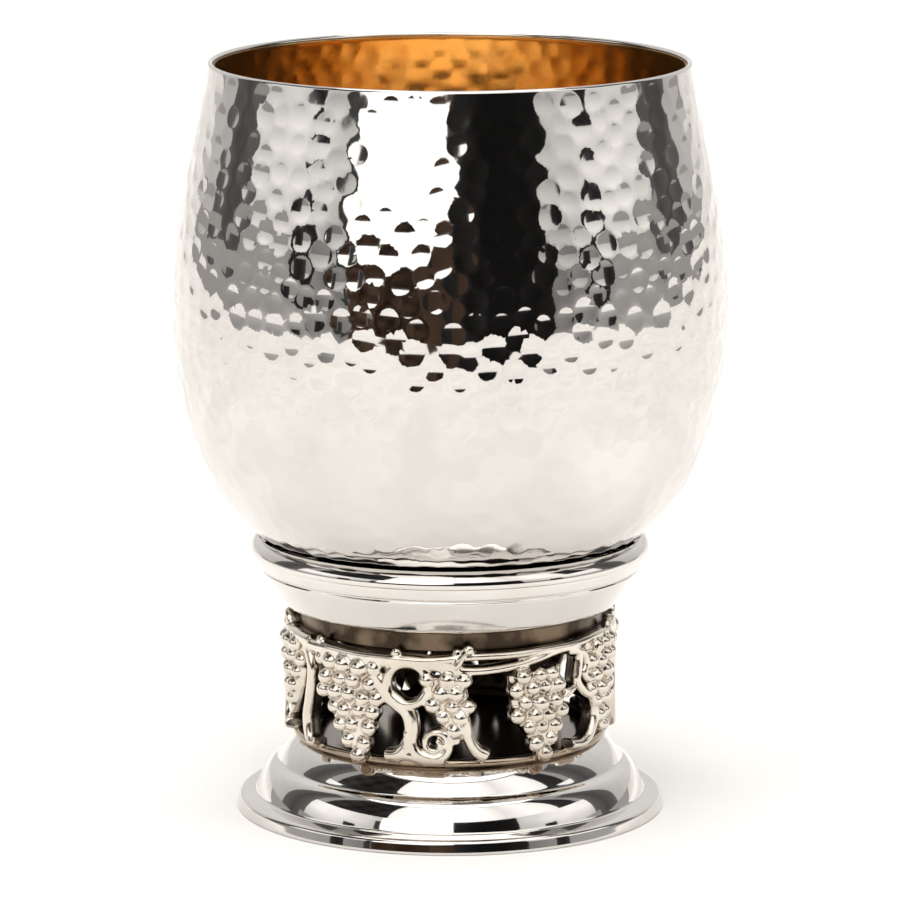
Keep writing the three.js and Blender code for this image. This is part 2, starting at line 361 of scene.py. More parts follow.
    def triangles(self, columns):
        """The band's points and its triangles."""
        border = np.linspace(-np.pi, np.pi, columns, endpoint=False)
        parts = [self.ridge_points(), self.edge_points(), self.inner_points(), self.flat_points()]
        angle = (np.concatenate([part[0] for part in parts]) + np.pi) % (2 * np.pi) - np.pi
        run = np.concatenate([part[1] for part in parts])
        inside = (run > self.low + BORDER_MARGIN) & (run < self.high - BORDER_MARGIN)
        angle, run = angle[inside], run[inside]
        kept = thinned(self.place(angle, run), LEAST_APART)
        angle = np.concatenate([border, border, angle[kept]])
        run = np.concatenate([np.full(columns, self.low), np.full(columns, self.high), run[kept]])
        wrap = SEAM_OVERLAP / BELLY_RADIUS
        left, right = angle < -np.pi + wrap, angle > np.pi - wrap
        all_angle = np.concatenate([angle, angle[left] + 2 * np.pi, angle[right] - 2 * np.pi])
        all_run = np.concatenate([run, run[left], run[right]])
        source = np.concatenate([np.arange(len(angle)), np.nonzero(left)[0], np.nonzero(right)[0]])
        flat = [Vector((a * BELLY_RADIUS / MM, r / MM)) for a, r in zip(all_angle, all_run)]
        result = delaunay_2d_cdt(flat, [], [], 0, TINY, True)
        origin = np.array([first[0] if first else -1 for first in result[3]])
        found = origin[np.array(result[2])]
        middle = all_angle[found].mean(axis=1)
        found = found[(middle >= -np.pi) & (middle < np.pi)]
        return angle, run, source[found]

    def surface(self, columns):
        """Vertices, triangles and the vertices' normals."""
        angle, run, faces = self.triangles(columns)
        _, depth = self.cuts(angle, run)
        flow, flow_round, flow_up = self.hand_made(angle, run)
        slope_round, slope_up = self.mark_slopes(angle, run)
        relief = np.minimum(depth[:, 0], 0) + flow
        slopes = slope_round + flow_round, slope_up + flow_up
        points, facing = embossed(self.place(angle, run), angle, self.normal(run), relief, *slopes)
        return points, faces, facing

    def mark_slopes(self, angle, run):
        """The hammered surface's slopes, eased from one hollow into the next."""
        order, depth = self.cuts(angle, run, 4)
        across, up = self.reach(angle[:, None], run[:, None], order)
        deepest = np.minimum(depth[:, :1], 0)
        share = np.exp((deepest - depth) / RIDGE_EASE)
        whole = share.sum(axis=1) + np.exp(deepest[:, 0] / RIDGE_EASE)
        return tuple((share * way / self.hammer[order]).sum(axis=1) / whole for way in (across, up))

    def hand_made(self, angle, run):
        """Slow unevenness of a bowl raised by hand, with its slopes; none at either border."""
        height, slope_round, slope_up = np.zeros((3, len(angle)))
        share = (run - self.low) / (self.high - self.low)
        fade = np.sin(np.pi * np.clip(share, 0, 1))
        for waves_round, waves_up, size, shift in UNEVENNESS:
            waves_run = 2 * np.pi * waves_up / (self.high - self.low)
            phase = waves_round * angle + waves_run * (run - self.low) + shift
            height += fade * size * np.sin(phase)
            slope_round += fade * size * waves_round / self.radius(run) * np.cos(phase)
            slope_up += fade * size * waves_run * np.cos(phase)
        return height, slope_round, slope_up


def thinned(points, least):
    """Indices of the points that are no nearer than least to one kept before them."""
    steps = list(itertools.product((-1, 0, 1), repeat=3))
    cells, kept = {}, []
    for index, (point, (x, y, z)) in enumerate(zip(points.tolist(), (points // least).astype(int).tolist())):
        near = (cells.get((x + dx, y + dy, z + dz), ()) for dx, dy, dz in steps)
        if all(math.dist(point, other) >= least for cell in near for other in cell):
            cells.setdefault((x, y, z), []).append(point)
            kept.append(index)
    return np.array(kept)


# -------------------- bowl


def bowl_offset(outline, distance):
    """The outline moved in by a distance, still starting on the axis."""
    moved = outline - outward(outline) * distance
    moved[:, 0] = np.maximum(moved[:, 0], 0)
    moved[0, 0] = 0
    return moved


HIDDEN_BOWL_STEP = 4.5 * MM
HIDDEN_WALL_STEP = 9 * MM
LIP_STEPS = 8
LINING_BACK_STEP = 7 * MM
LINING_STEP = 0.75 * MM
LINING_DROP = 0.55 * MM
SWELL_REACH = 1.3  # in mark radii


def silver_wall(band):
    """The silver of the bowl: hammered outside, round lip, and a plain back under the gilding."""
    full = band.outline
    hidden = spaced(full[full[:, 1] < MARKS_FROM], HIDDEN_BOWL_STEP)[:-1]
    inner = bowl_offset(full, SILVER_WALL)
    inner = inner[inner[:, 1] < BAND_TOP]
    edge_out = full[np.searchsorted(full[:, 1], BAND_TOP)]
    edge_in = inner[-1]
    middle = (edge_out + edge_in) / 2
    half = np.linalg.norm(edge_out - edge_in) / 2
    side = (edge_out - edge_in) / (2 * half)
    turn = np.linspace(0, np.pi, LIP_STEPS + 1)[1:, None]
    lip = middle + half * (np.cos(turn) * side + np.sin(turn) * np.array([0.0, 1.0]))
    inside = np.concatenate([lip, spaced(inner[::-1], HIDDEN_WALL_STEP)[1:]])
    points, faces, normals = band.surface(BOWL_COLUMNS)
    angles = np.linspace(-np.pi, np.pi, BOWL_COLUMNS, endpoint=False)
    below, below_normals = turned_rows(hidden, angles, outward(np.vstack([hidden, full[len(full) // 2]])))
    above, above_normals = turned_rows(inside, angles, outward(inside))
    low_row, high_row = numbered(BOWL_COLUMNS, 2)
    low_start = len(points)
    high_start = low_start + len(below)
    all_points = np.concatenate([points, below, above])
    all_normals = np.concatenate([normals, below_normals, above_normals])
    for row, run in ((low_row, band.low), (high_row, band.high)):
        out, up = band.normal(run)
        all_normals[row] = circle(out, angles, up)
    rows_below = numbered(BOWL_COLUMNS, len(hidden) - 1, low_start + 1) + [low_row]
    rows_above = [high_row] + numbered(BOWL_COLUMNS, len(inside) - 1, high_start)
    others = strips(rows_below) + strips(rows_above)
    others += fan(low_start, rows_below[0][::-1]) + fan(len(all_points) - 1, rows_above[-1])
    return mesh_object("bowl_silver_wall", all_points, faces.tolist() + others, all_normals)


def turned_rows(outline, angles, normals):
    """Rows of points turned round Z; an outline's point on the axis gives one point."""
    points, facing = [], []
    for (radius, height), (out, up) in zip(outline, normals):
        if radius < TINY:
            points.append([(0, 0, height)])
            facing.append([(0, 0, math.copysign(1, up))])
        else:
            points.append(circle(radius, angles, height))
            facing.append(circle(out, angles, up))
    return np.concatenate(points), np.concatenate(facing)


def gilt_lining(band):
    """The gilt inside of the bowl, which swells a little behind each hammer mark."""
    full = band.outline
    top = CUP_HEIGHT - LINING_DROP
    face = bowl_offset(full, BOWL_WALL)
    back = bowl_offset(full, SILVER_WALL + GILT_GAP)
    behind = spaced(back[back[:, 1] < top], LINING_BACK_STEP)
    front = spaced(face[face[:, 1] < top][::-1], LINING_STEP)
    outline = np.concatenate([behind, front])
    body = outline[1:-1]
    height = np.interp(body[:, 1], full[:, 1], band.run)
    angles = full_turn(LINING_COLUMNS)
    relief = np.zeros((3, len(body), LINING_COLUMNS))
    for row in range(len(behind), len(body)):
        run = np.full(LINING_COLUMNS, height[row])
        mark = band.cuts(angles, run, 1)[0][:, 0]
        across, up = band.reach(angles, run, mark)
        reach_squared = (SWELL_REACH * band.size[mark]) ** 2
        bell = np.clip(1 - (across**2 + up**2) / reach_squared, 0, 1)
        steep = -4 * LINING_SWELL * bell / reach_squared
        relief[:, row] = LINING_SWELL * bell**2, steep * across, -steep * up
    return spun("bowl_gilt_lining", outline, LINING_COLUMNS, relief)


# -------------------- collar and foot

LOW_RADIUS = 23.6 * MM
FLARE_PULL = (25.1 * MM, 32.0 * MM)
NECK_RADIUS = 21.3 * MM
UNDERSIDE = 29.3 * MM
GROOVE_RADIUS = 26.6 * MM
GROOVE_HEIGHT = 34.5 * MM
GROOVE_DEPTH = 0.28 * MM
GROOVE_WIDTH = 0.55 * MM
BAND_EDGE = (27.5 * MM, 36.3 * MM)
LIP = (26.7 * MM, 38.85 * MM)
BEAD_NOTCH = ((-0.25 * MM, -0.2 * MM), (-0.3 * MM, 0.05 * MM))
BEAD_LOW_PULL = (0.45 * MM, 0.2 * MM)
BEAD_HIGH_PULL = (-0.15 * MM, -0.6 * MM)
COLLAR_CORNER = 0.5 * MM
COLLAR_WALL = 1.5 * MM
COLLAR_FLOOR = 1.4 * MM
TURNED_STEP = 0.14 * MM
HIDDEN_STEP = 1.2 * MM
PLATE_STEP = 2 * MM
CURVE_STEPS = 24


def collar():
    """The turned dish that carries the bowl."""
    bottom, bead_radius = COLLAR_LOW[2], COLLAR_HIGH[0]
    outside = [(NECK_RADIUS, bottom), (NECK_RADIUS, UNDERSIDE), (LOW_RADIUS - COLLAR_CORNER, UNDERSIDE)]
    flare_top = (GROOVE_RADIUS, GROOVE_HEIGHT - GROOVE_WIDTH / 2)
    flare = [(LOW_RADIUS, UNDERSIDE + COLLAR_CORNER), FLARE_PULL, flare_top]
    outside += bezier(flare, CURVE_STEPS).tolist()
    outside += [
        (GROOVE_RADIUS - GROOVE_DEPTH, GROOVE_HEIGHT),
        (GROOVE_RADIUS + GROOVE_DEPTH / 2, GROOVE_HEIGHT + GROOVE_WIDTH / 2),
    ]
    outside += [(BAND_EDGE[0] + out, BAND_EDGE[1] + up) for out, up in BEAD_NOTCH]
    bead_low = (bead_radius + BEAD_LOW_PULL[0], BAND_EDGE[1] + BEAD_LOW_PULL[1])
    bead_high = (bead_radius + BEAD_HIGH_PULL[0], LIP[1] + BEAD_HIGH_PULL[1])
    outside += bezier([BAND_EDGE, bead_low, bead_high, LIP], CURVE_STEPS).tolist()
    floor_top = bottom + COLLAR_FLOOR
    inside = [
        LIP,
        (LIP[0] - COLLAR_WALL, LIP[1] - COLLAR_WALL * 0.75),
        (GROOVE_RADIUS - COLLAR_WALL - GROOVE_DEPTH, GROOVE_HEIGHT - 1 * MM),
        (LOW_RADIUS - COLLAR_WALL - 0.4 * MM, UNDERSIDE + COLLAR_FLOOR),
        (NECK_RADIUS - COLLAR_WALL, UNDERSIDE + COLLAR_FLOOR / 2),
        (NECK_RADIUS - COLLAR_WALL, floor_top),
        (0, floor_top),
    ]
    below = spaced([(0, bottom), (NECK_RADIUS, bottom)], 2 * PLATE_STEP)
    shown = rounded(spaced(outside, TURNED_STEP), 2)
    hidden = spaced(inside, HIDDEN_STEP)
    return spun("collar_turned", np.concatenate([below[:-1], shown, hidden[1:]]), TURNED_COLUMNS)


FOOT_WALL = 1.2 * MM
PLATE_RADIUS = 20.8 * MM
UPPER_TIER = ((PLATE_RADIUS, PLATE_HEIGHT), (22.9 * MM, 9.1 * MM), (24.0 * MM, 6.8 * MM))
LOWER_TIER = ((24.3 * MM, 6.6 * MM), (26.1 * MM, 6.2 * MM), (27.2 * MM, 2.3 * MM))
FLANGE = (29.6 * MM, 1.95 * MM)
EDGE_HEIGHT = 1.7 * MM
EDGE_DRAFT = 0.3 * MM
EDGE_EASE = 0.2 * MM
TIER_STEPS = 16


def foot():
    """The spun foot: two convex tiers, a flange and an upright edge, hollow underneath."""
    edge_radius = FOOT_HIGH[0]
    inset = -FOOT_WALL * np.array([1, 0.9])
    under = [(0, PLATE_HEIGHT - FOOT_WALL)]
    for tier in (UPPER_TIER, LOWER_TIER):
        under += (bezier(tier, TIER_STEPS) + inset).tolist()
    under.append((edge_radius - 2 * FOOT_WALL, 0))
    outside = [
        (edge_radius - 2 * FOOT_WALL, 0),
        (edge_radius - EDGE_DRAFT / 2, 0),
        (edge_radius, EDGE_EASE),
        (edge_radius - EDGE_DRAFT, EDGE_HEIGHT),
        (FLANGE[0] - EDGE_DRAFT, FLANGE[1]),
    ]
    for tier in (LOWER_TIER, UPPER_TIER):
        outside += bezier(tier[::-1], TIER_STEPS).tolist()
    shown = rounded(spaced(outside, TURNED_STEP), 2)
    shown[:, 1] = np.maximum(shown[:, 1], 0)
    hidden = spaced(under, HIDDEN_STEP)
    plate = spaced([(PLATE_RADIUS, PLATE_HEIGHT), (0, PLATE_HEIGHT)], PLATE_STEP)
    return spun("foot_spun", np.concatenate([hidden[:-1], shown, plate[1:]]), TURNED_COLUMNS)


# -------------------- grape gallery

# Sizes here are in millimetres. Angles are in degrees round the cup from its front towards +X.
# The casting is two like halves, with more at the back where the visible openings look through.
BUNCHES = (
    dict(angle=-39.5, lean=6, top=23.9, tip=11.3, width=11.2),
    dict(angle=-1.5, lean=4, top=22.9, tip=13.8, width=7.0),
    dict(angle=32, lean=3, top=22.9, tip=11.6, width=10.4),
    dict(angle=68, lean=0, top=25.0, tip=13.2, width=10.4),
    dict(angle=105, lean=0, top=24.8, tip=14.4, width=9.4),
)
REAR_BUNCHES = (
    dict(angle=157, lean=0, top=23.8, tip=12.4, width=7.8),
    dict(angle=194, lean=0, top=23.8, tip=12.4, width=7.4),
)
# Each vine: half its width at its start and its end, then (angle, height) stations.
VINES = (
    (1.0, 1.2, [(-58, 25.4), (-48, 25.4), (-38, 25.2), (-28, 25.1), (-16, 25.2), (-6, 25.0), (1, 24.9)]),
    (0.9, 1.2, [(-50, 24.9), (-38, 24.7), (-30, 24.1), (-25.5, 22.4), (-22, 20.3), (-15.5, 18.4)]),
    (1.25, 0.95, [(-22.5, 20.5), (-15.5, 18.4), (-13.5, 15.9), (-15, 13.4), (-18.5, 12.1), (-23, 11.9)]),
    (0.85, 0.65, [(-30, 24.9), (-18, 25.2), (-7, 24.8), (1, 24.2), (8, 24.0), (15, 24.1), (24, 24.5)]),
    (0.65, 0.8, [(24, 24.5), (32, 25.1), (40, 25.8), (47, 25.8), (51.5, 24.6), (51, 22.4), (50.5, 20.8),
                 (54, 19.2), (60, 17.8), (62.4, 15.2), (59, 12.8), (54, 11.8), (47.5, 12.0)]),
    (0.8, 0.7, [(25.5, 24.6), (27.5, 23.5), (29, 22.0)]),
    (0.8, 0.9, [(-19.5, 12.0), (-14.5, 12.1), (-9, 11.6), (-2, 11.6)]),
    (0.7, 1.0, [(4.5, 19.5), (5.2, 17.2), (6.4, 14.8), (9, 13.0), (13, 12.0)]),
    (0.65, 0.6, [(46, 25.4), (53, 24.8), (56, 23.1), (54.5, 21.6), (57.5, 20.6), (64, 20.9)]),
    (0.9, 0.75, [(80, 25.6), (86, 23.4), (87.5, 19.8), (85.5, 16.4), (87, 13.2), (91, 11.7), (96, 12.0)]),
    (0.9, 0.75, [(119, 25.3), (122.5, 22.2), (121, 18.2), (119, 14.8), (121, 12.0), (125, 11.7)]),
    (1.0, 1.0, [(60, 25.7), (75, 25.9), (90, 25.6), (105, 25.9), (122, 25.8)]),
)
# Round eyes: angle, height, radius, half the width of the metal.
RINGS = ((-14.8, 22.1, 2.9, 0.8), (97, 27.0, 1.2, 0.5))
VOLUTE = dict(
    stem=[(-14.4, 15.4), (-12.6, 12.9)],
    angle=-5.3,
    height=13.9,
    radius=2.25,
    inner_radius=0.5,
    first_turn=-0.31,
    turns=1.5,
    half_widths=(1.0, 0.55, 0.44),
)
# Leaves: angle, height, half the length, half the width, tilt.
LEAVES = ((45.5, 19.8, 1.5, 0.75, 25), (62.0, 23.9, 1.3, 0.7, -40), (3.5, 25.6, 1.4, 0.65, 60))
REAR_LEAVES = ((200.5, 14.6, 3.0, 1.3, 80), (169, 17.6, 1.6, 0.8, 60))
# Lumps of solder on the top hoop: angle, height, radius.
KNOBS = ((-19, 26.4, 0.75), (2.5, 26.6, 0.7), (6.5, 27.0, 0.8), (76, 26.9, 0.8), (128, 26.5, 0.75))
GALLERY_WALL = 22.2
CAST_FRONT = 23.25
CAST_BACK = 20.6
GRAPE_RADIUS = 1.2
GRAPE_INSET = 1.02
GRAPE_PITCH = 2.3
ROW_PITCH = 1.95
GRAPE_SHIFT = 0.26
GRAPE_SIZES = (0.84, 1.1)
BODY_RISE = 0.5
BODY_INSET = 0.9
BODY_STATIONS = 6
BODY_FRONT = GALLERY_WALL + 0.75
LEAF_FRONT = CAST_FRONT + 0.35
KNOB_RADIUS = 22.4
BUNCH_SWELL = 0.7
BUNCH_SHOULDER = 0.35
TIP_WIDTH = 2.5
# Radius, height, half the depth, half the height and rise of the hoops at its top and its bottom.
HOOPS = ((22.45, 25.9, 0.8, 0.62, 0.38), (21.2, 10.78, 0.7, 0.62, 0))
BLOB_SIDES = 18
BLOB_RINGS = 12
ROD_SIDES = 14
VOLUTE_STATIONS = 14
RING_STATIONS = 12
ROD_SQUARENESS = 0.8
HOOP_SIDES = 12
HOOP_STEPS = 180
# The rise and fall of the top hoop: waves round the cup, share of the rise, shift in degrees.
HOOP_WAVES = ((2, 1, -20), (7, 0.3, 0), (13, 0.2, 0))
VOXEL = 0.155
EASE_PASSES = 4
CAST_TRIANGLES = 190000


def on_wall(radius, degrees, height):
    angle = np.radians(degrees)
    return np.stack(np.broadcast_arrays(radius * np.sin(angle), -radius * np.cos(angle), height), axis=-1)


def round_blob(centre_radius, degrees, height, size, back):
    """A ball in front, drawn out towards the back: a grape or a lump of solder."""
    polar = np.linspace(0, np.pi, BLOB_RINGS + 1)[1:-1]
    turn = full_turn(BLOB_SIDES)
    out = np.cos(polar)[:, None] * np.ones(BLOB_SIDES)
    ring = np.sin(polar)[:, None]
    out, side, up = out * size, ring * np.cos(turn) * size, ring * np.sin(turn) * size
    out = np.where(out < 0, out * (centre_radius - back) / size, out)
    angle = math.radians(degrees)
    radial = np.array([math.sin(angle), -math.cos(angle), 0])
    across = np.array([math.cos(angle), math.sin(angle), 0])
    centre = on_wall(centre_radius, degrees, height)
    body = centre + out[..., None] * radial + side[..., None] * across + up[..., None] * np.array([0, 0, 1.0])
    ends = [centre + size * radial, centre - (centre_radius - back) * radial]
    points = np.concatenate([body.reshape(-1, 3), ends])
    rows = numbered(BLOB_SIDES, len(polar))
    faces = strips(rows[::-1]) + fan(len(points) - 2, rows[0]) + fan(len(points) - 1, rows[-1][::-1])
    return points, faces


def wall_rod(stations, half_widths, closed=False, steps=10, front=CAST_FRONT, back=CAST_BACK):
    """A flat-sided rod with a rounded front along (degrees, millimetres) stations on the wall."""
    stations = np.array(stations, float)
    radius = (front + back) / 2
    flat = np.stack([np.radians(stations[:, 0]) * radius, stations[:, 1]], axis=1)
    path = smooth_path(flat, steps, closed)
    along = np.gradient(path, axis=0)
    if closed:
        along = np.roll(path, -1, axis=0) - np.roll(path, 1, axis=0)
    along /= np.linalg.norm(along, axis=1, keepdims=True)
    side = np.stack([-along[:, 1], along[:, 0]], axis=1)
    widths = np.interp(np.linspace(0, 1, len(path)), np.linspace(0, 1, len(half_widths)), half_widths)
    turn = full_turn(ROD_SIDES)
    wide, deep = (np.sign(way) * np.abs(way) ** ROD_SQUARENESS for way in (np.cos(turn), np.sin(turn)))
    place = path[:, None, :] + side[:, None, :] * (widths[:, None] * wide)[..., None]
    reach = radius + deep * (front - back) / 2
    points = on_wall(reach, np.degrees(place[..., 0] / radius), place[..., 1]).reshape(-1, 3)
    rows = numbered(ROD_SIDES, len(path))
    if closed:
        return points, strips(rows + rows[:1])
    ends = points[rows[0]].mean(axis=0), points[rows[-1]].mean(axis=0)
    points = np.concatenate([points, ends])
    faces = strips(rows) + fan(len(points) - 2, rows[0][::-1]) + fan(len(points) - 1, rows[-1])
    return points, faces


def smooth_path(points, steps, closed):
    """A Catmull-Rom curve through the points."""
    if closed:
        padded = np.concatenate([points[-1:], points, points[:2]])
    else:
        padded = np.concatenate([[2 * points[0] - points[1]], points, [2 * points[-1] - points[-2]]])
    t = np.linspace(0, 1, steps, endpoint=False)[:, None]
    found = []
    for p0, p1, p2, p3 in zip(padded, padded[1:], padded[2:], padded[3:]):
        bend = (2 * p0 - 5 * p1 + 4 * p2 - p3) * t**2 + (3 * p1 - p0 - 3 * p2 + p3) * t**3
        found.append(p1 + 0.5 * ((p2 - p0) * t + bend))
    if not closed:
        found.append(points[-1:])
    return np.concatenate(found)


def bunch_width(width, t):
    """How wide a bunch is at a share t of the way from its top to its tip."""
    taper = max(0, (t - BUNCH_SHOULDER) / (1 - BUNCH_SHOULDER))
    return TIP_WIDTH + (width - TIP_WIDTH) * math.cos(min(taper, 1) * math.pi / 2)


def bunch(angle, lean, top, tip, width):
    """Grapes in close rows, each set off from the one above, on a body that narrows to a tip."""
    rows = int(round((top - tip) / ROW_PITCH))
    degrees = math.degrees(1 / GALLERY_WALL)
    shapes = []
    for row in range(rows + 1):
        t = row / rows
        reach = max(bunch_width(width, t) / 2 - GRAPE_INSET, 0.1) + 0.25
        places = (np.arange(-4, 5) + (row % 2) / 2) * GRAPE_PITCH
        for across in places[np.abs(places) <= reach]:
            swell = BUNCH_SWELL * (1 - (2 * across / width) ** 2) * (1 - t / 2)
            jitter = rng.uniform(-GRAPE_SHIFT, GRAPE_SHIFT, 3)
            size = GRAPE_RADIUS * rng.uniform(*GRAPE_SIZES)
            turn = angle + lean * t + (across + jitter[0]) * degrees
            height = top + (tip - top) * t + jitter[1]
            shapes.append(round_blob(GALLERY_WALL + swell + jitter[2], turn, height, size, CAST_BACK))
    shares = np.linspace(0, 1, BODY_STATIONS)
    body_top = top + BODY_RISE
    stations = [(angle + lean * t, body_top + (tip - body_top) * t) for t in shares]
    half_widths = [max(bunch_width(width, t) / 2 - BODY_INSET, 0.4) for t in shares]
    shapes.append(wall_rod(stations, half_widths, front=BODY_FRONT))
    return shapes


def beside(angle, height, reach, turn):
    """The station at a reach from (angle, height), in the direction of a turn in radians."""
    return angle + math.degrees(reach * math.cos(turn) / GALLERY_WALL), height + reach * math.sin(turn)


def volute(stem, angle, height, radius, inner_radius, first_turn, turns, half_widths):
    """A vine that curls up on itself at its end."""
    stations = list(stem)
    for t in np.linspace(0, 1, VOLUTE_STATIONS):
        reach = radius + (inner_radius - radius) * t
        stations.append(beside(angle, height, reach, (first_turn + t * turns) * 2 * math.pi))
    return wall_rod(stations, half_widths, steps=6)


def ring(angle, height, radius, half_width):
    stations = [beside(angle, height, radius, turn) for turn in full_turn(RING_STATIONS)]
    return wall_rod(stations, [half_width, half_width], closed=True, steps=4)


def leaf(angle, height, half_length, half_width, tilt):
    """A small pointed leaf lying on the wall."""
    turn = math.radians(tilt)
    stations = [beside(angle, height, share * half_length, turn) for share in (-1, -0.4, 0.3, 1)]
    return wall_rod(stations, [0.15, half_width, half_width * 0.8, 0.1], front=LEAF_FRONT)


def hoop(radius, height, half_depth, half_height, rise):
    """A thin hoop that runs right round; with a rise, it goes up and down as a hand-made one does."""
    turn = full_turn(HOOP_SIDES)
    angles = np.linspace(0, 360, HOOP_STEPS, endpoint=False)
    wave = sum(share * np.sin(np.radians(angles * waves + shift)) for waves, share, shift in HOOP_WAVES)
    heights = height + half_height * np.sin(turn)[None, :] + rise * wave[:, None]
    points = on_wall((radius + half_depth * np.cos(turn))[None, :], angles[:, None], heights)
    rows = numbered(HOOP_SIDES, HOOP_STEPS)
    return points.reshape(-1, 3), strips(rows + rows[:1])


def casting_shapes():
    """The casting's overlapping shapes, in millimetres."""
    half = []
    for each in BUNCHES:
        half += bunch(**each)
    half += [wall_rod(stations, [start, end]) for start, end, stations in VINES]
    half += [ring(*each) for each in RINGS] + [volute(**VOLUTE)] + [leaf(*each) for each in LEAVES]
    half += [round_blob(KNOB_RADIUS, angle, height, size, CAST_BACK + 1) for angle, height, size in KNOBS]
    shapes = half + [(points * np.array([-1, -1, 1]), faces) for points, faces in half]
    shapes += [shape for each in REAR_BUNCHES for shape in bunch(**each)]
    shapes += [leaf(*each) for each in REAR_LEAVES] + [hoop(*each) for each in HOOPS]
    return shapes


def evaluated_mesh(piece):
    return bpy.data.meshes.new_from_object(piece.evaluated_get(bpy.context.evaluated_depsgraph_get()))


def grape_gallery():
    """The openwork casting: its shapes fused into one skin, eased where they meet."""
    points, faces, start = [], [], 0
    for shape_points, shape_faces in casting_shapes():
        points.append(shape_points)
        faces += [[corner + start for corner in face] for face in shape_faces]
        start += len(shape_points)
    rough = mesh_object("rough_casting", np.concatenate(points), faces)
    fuse = rough.modifiers.new("fuse", "REMESH")
    fuse.mode = "VOXEL"
    fuse.voxel_size = VOXEL
    ease = rough.modifiers.new("ease", "SMOOTH")
    ease.factor = 0.5
    ease.iterations = EASE_PASSES
    fused = evaluated_mesh(rough)
    bpy.data.objects.remove(rough)
    casting = placed("grape_gallery_cast", fused)
    fused.calc_loop_triangles()
    thin = casting.modifiers.new("thin", "DECIMATE")
    thin.ratio = min(1, CAST_TRIANGLES / len(fused.loop_triangles))
    lighter = evaluated_mesh(casting)
    casting.modifiers.clear()
    casting.data = lighter
    found = np.empty(len(lighter.vertices) * 3)
    lighter.vertices.foreach_get("co", found)
    found = found.reshape(-1, 3) * MM
    found[:, 2] = np.maximum(found[:, 2], PLATE_HEIGHT)
    lighter.vertices.foreach_set("co", found.ravel())
    lighter.update()
    lighter.shade_smooth()
    return casting


# -------------------- materials

TINT_SCALE = 90
RUB_SCALE = 1400
RUB_DEPTH = 0.02 * MM
PATINA_SCALE = 160
# Painted shade for the inside of the casting and for the plate under it.
PAINTED_INNER_SHADE = (0.085, 0.06, 0.041)
# Brown patina in the casting's hollows, and painted shade towards its foot.
PATINA_AND_PAINTED_SHADE = (0.3, 0.22, 0.15)
# Painted shade in the collar's neck.
NECK_PAINTED_SHADE = (0.17, 0.125, 0.085)
NECK_PAINTED_DEEP_SHADE = (0.045, 0.032, 0.022)
# Where the painted shade ends: heights or radii where it is whole and where it has gone.
PAINTED_BASE_SHADE = (10.6 * MM, 12.2 * MM)
CAST_FACE = (21.2 * MM, 22.6 * MM)
NECK_EDGE = (21.6 * MM, 23.3 * MM)
NECK_TOP = (29.5 * MM, 30 * MM)
PLATE_EDGE = (20.6 * MM, 21.4 * MM)
PLATE_LEVEL = (9.9 * MM, 9.6 * MM)


def new_material(name):
    """A material and its shader."""
    made = bpy.data.materials.new(name)
    made.use_nodes = True
    return made, made.node_tree.nodes["Principled BSDF"]


def fill(made, node, sockets):
    """Gives each of a node's sockets a constant, or a link from another node's output."""
    for name, value in sockets.items():
        if isinstance(value, bpy.types.NodeSocket):
            made.node_tree.links.new(value, node.inputs[name])
        else:
            node.inputs[name].default_value = value


def add_node(made, kind, sockets):
    node = made.node_tree.nodes.new("ShaderNode" + kind)
    fill(made, node, sockets)
    return node


def maths(made, kind, operation, *values):
    node = made.node_tree.nodes.new("ShaderNode" + kind)
    node.operation = operation
    fill(made, node, dict(enumerate(values)))
    return node


def clouds(made, scale, detail):
    """Soft, irregular patches, from 0 to 1."""
    where = add_node(made, "TexCoord", {})
    return add_node(
        made, "TexNoise", {"Vector": where.outputs["Object"], "Scale": scale, "Detail": detail}
    ).outputs["Fac"]


def two_tints(made, factor, places, tints):
    """One tint where the factor is below the first place, the other where it is above the second."""
    ramp = add_node(made, "ValToRGB", {"Fac": factor})
    for stop, place, tint in zip(ramp.color_ramp.elements, places, tints):
        stop.position = place
        stop.color = (*tint, 1)
    return ramp.outputs["Color"]


def material(name, colours, roughness, bump):
    """Polished metal: two tints in soft clouds, uneven polish and fine rubbing marks."""
    made, shader = new_material(name)
    patches = clouds(made, TINT_SCALE, 4)
    low, high = roughness
    polish = add_node(made, "MapRange", {"Value": patches, "To Min": low, "To Max": high})
    rubs = clouds(made, RUB_SCALE, 3)
    relief = add_node(made, "Bump", {"Height": rubs, "Strength": bump, "Distance": RUB_DEPTH})
    fill(made, shader, {
        "Metallic": 1.0,
        "Base Color": two_tints(made, patches, (0.3, 0.7), colours),
        "Roughness": polish.outputs["Result"],
        "Normal": relief.outputs["Normal"],
    })
    return made


def shaded(made, tint, factor, roughness=None):
    """Mixes a darker tint into a metal's colour, and a roughness into its own, where the factor is low."""
    shader = made.node_tree.nodes["Principled BSDF"]
    changes = [("Base Color", "RGBA", (*tint, 1))]
    if roughness is not None:
        changes.append(("Roughness", "FLOAT", roughness))
    for name, kind, value in changes:
        mix = made.node_tree.nodes.new("ShaderNodeMix")
        mix.data_type = kind
        fill(made, mix, {"Factor": factor, "A": value, "B": shader.inputs[name].links[0].from_socket})
        fill(made, shader, {name: mix.outputs["Result"]})


def ramped(made, value, low, high):
    """A value mapped to 0 at low and 1 at high."""
    return add_node(made, "MapRange", {"Value": value, "From Min": low, "From Max": high}).outputs["Result"]


def greater(made, first, second):
    return maths(made, "Math", "MAXIMUM", first, second).outputs["Value"]


